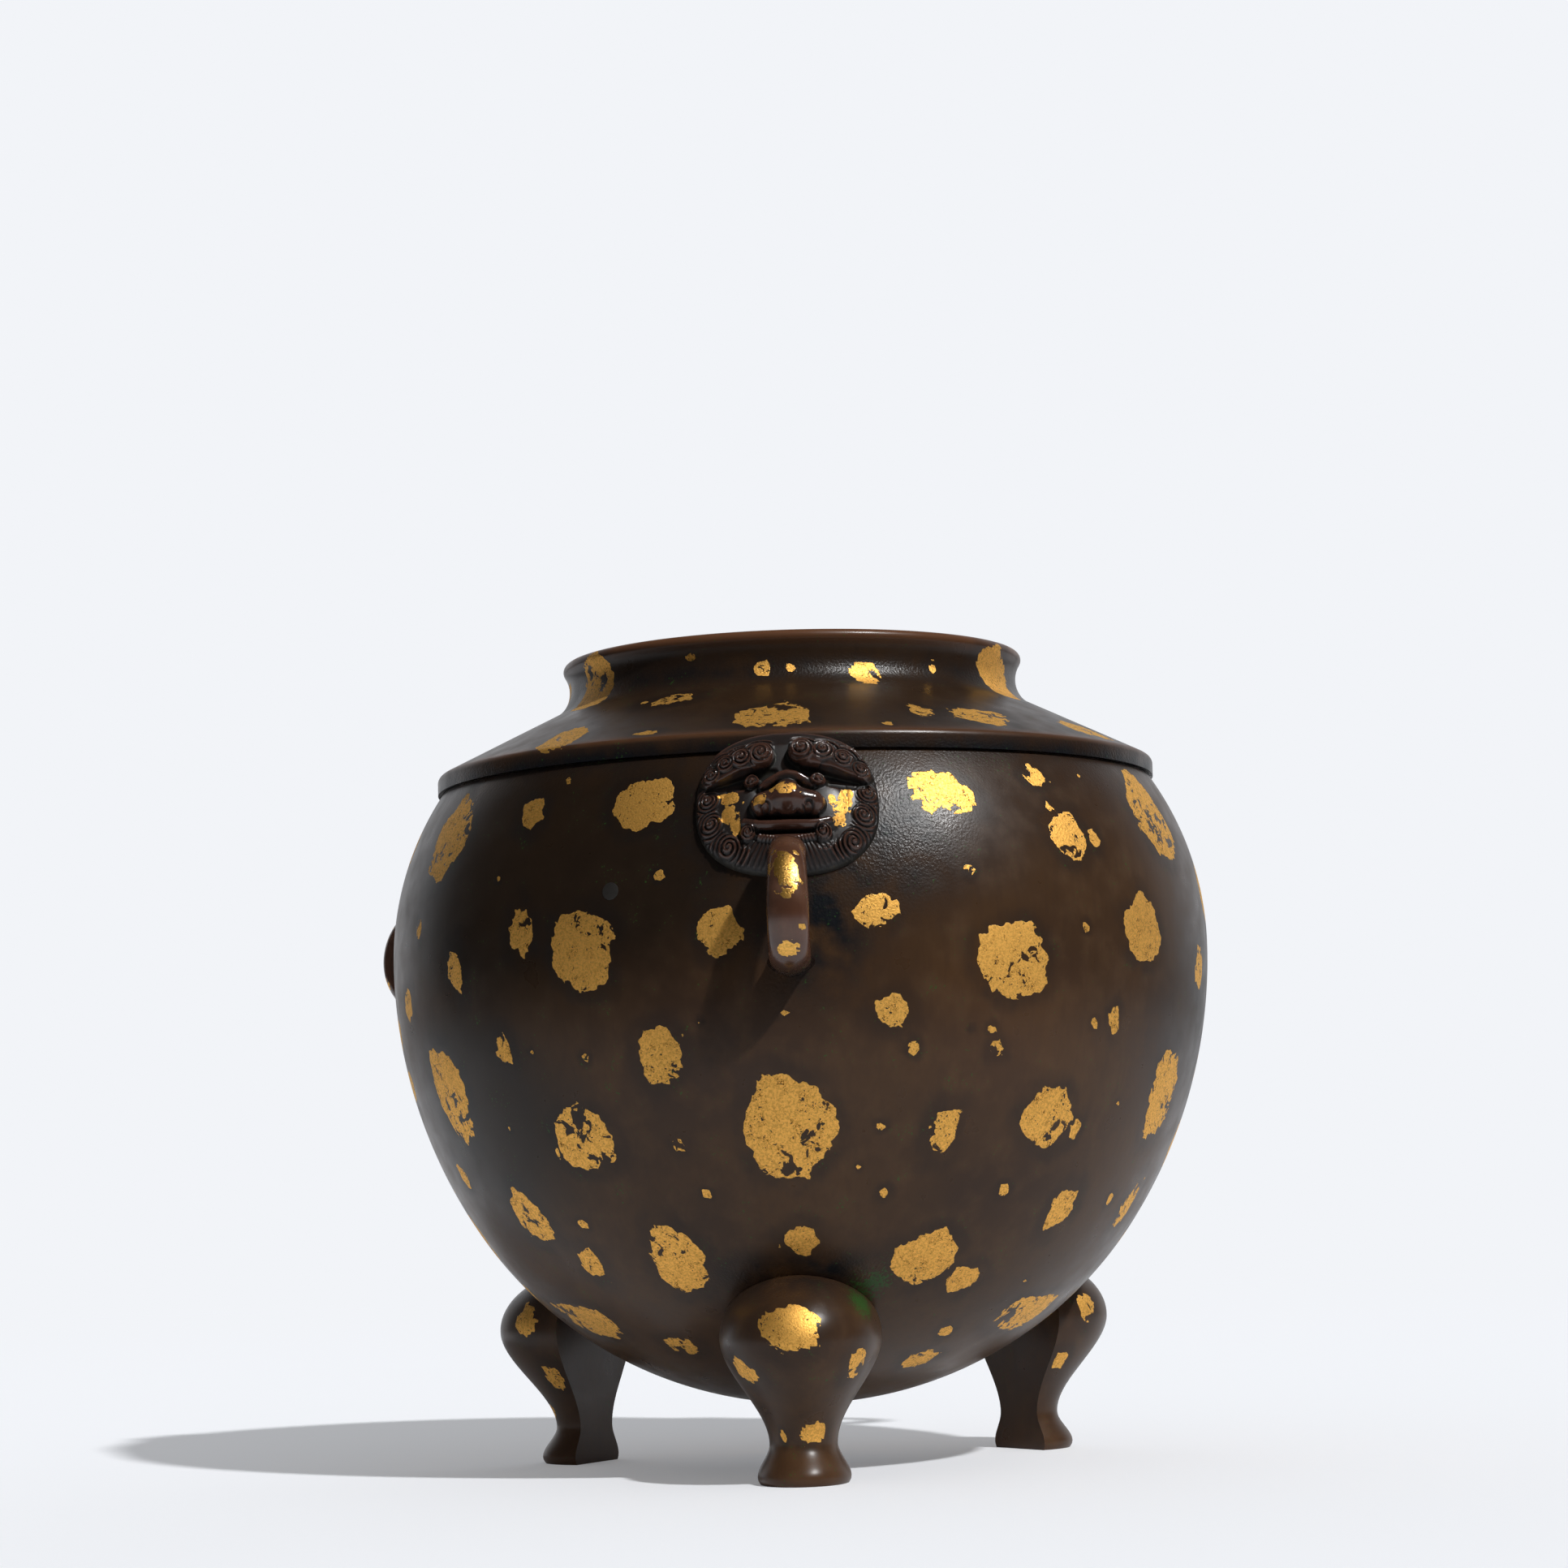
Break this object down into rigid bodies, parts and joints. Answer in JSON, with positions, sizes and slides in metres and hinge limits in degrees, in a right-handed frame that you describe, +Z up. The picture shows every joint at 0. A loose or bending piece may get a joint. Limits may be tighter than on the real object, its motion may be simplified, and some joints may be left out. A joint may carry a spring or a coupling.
{
  "type": "tripod incense burner",
  "caption": "Round-bellied bronze incense burner on cabriole legs, with a stepped shoulder, a flared neck, lion masks, fixed loop handles and a gold-splashed brown patina.",
  "frame": {"origin": "on the bowl's axis, in the plane that the feet stand on", "axes": "+Z up along the bowl's axis, -Y towards the front leg, +X to the viewer's right"},
  "size_m": [0.2111, 0.2202, 0.1972],
  "materials": {
    "brown_patina_bronze": "cast bronze with a chocolate-brown patina, satin sheen and splashes of gilding",
    "black_brown_mask_bronze": "chased cast bronze with a black-brown patina and touches of gilding",
    "red_brown_handle_bronze": "cast bronze with a red-brown patina rubbed by hands",
    "grey_plug_bronze": "bronze plug dressed flush, with a grey-brown patina",
    "rivet_bronze": "hammered bronze rivet with a thin brown patina"
  },
  "bodies": {
    "root": {"bowl": "brown_patina_bronze", "shoulder_collar": "brown_patina_bronze", "casting_plug": "grey_plug_bronze", "leg_front": "brown_patina_bronze", "leg_left": "brown_patina_bronze", "leg_right": "brown_patina_bronze", "leg_rivet_front": "rivet_bronze", "leg_rivet_left": "rivet_bronze", "leg_rivet_right": "rivet_bronze", "mask_front": "black_brown_mask_bronze", "mask_left": "black_brown_mask_bronze", "mask_right": "black_brown_mask_bronze", "mask_rivets_front": "rivet_bronze", "mask_rivets_left": "rivet_bronze", "mask_rivets_right": "rivet_bronze", "handle_front": "red_brown_handle_bronze", "handle_left": "red_brown_handle_bronze", "handle_right": "red_brown_handle_bronze"}
  },
  "joints": []
}
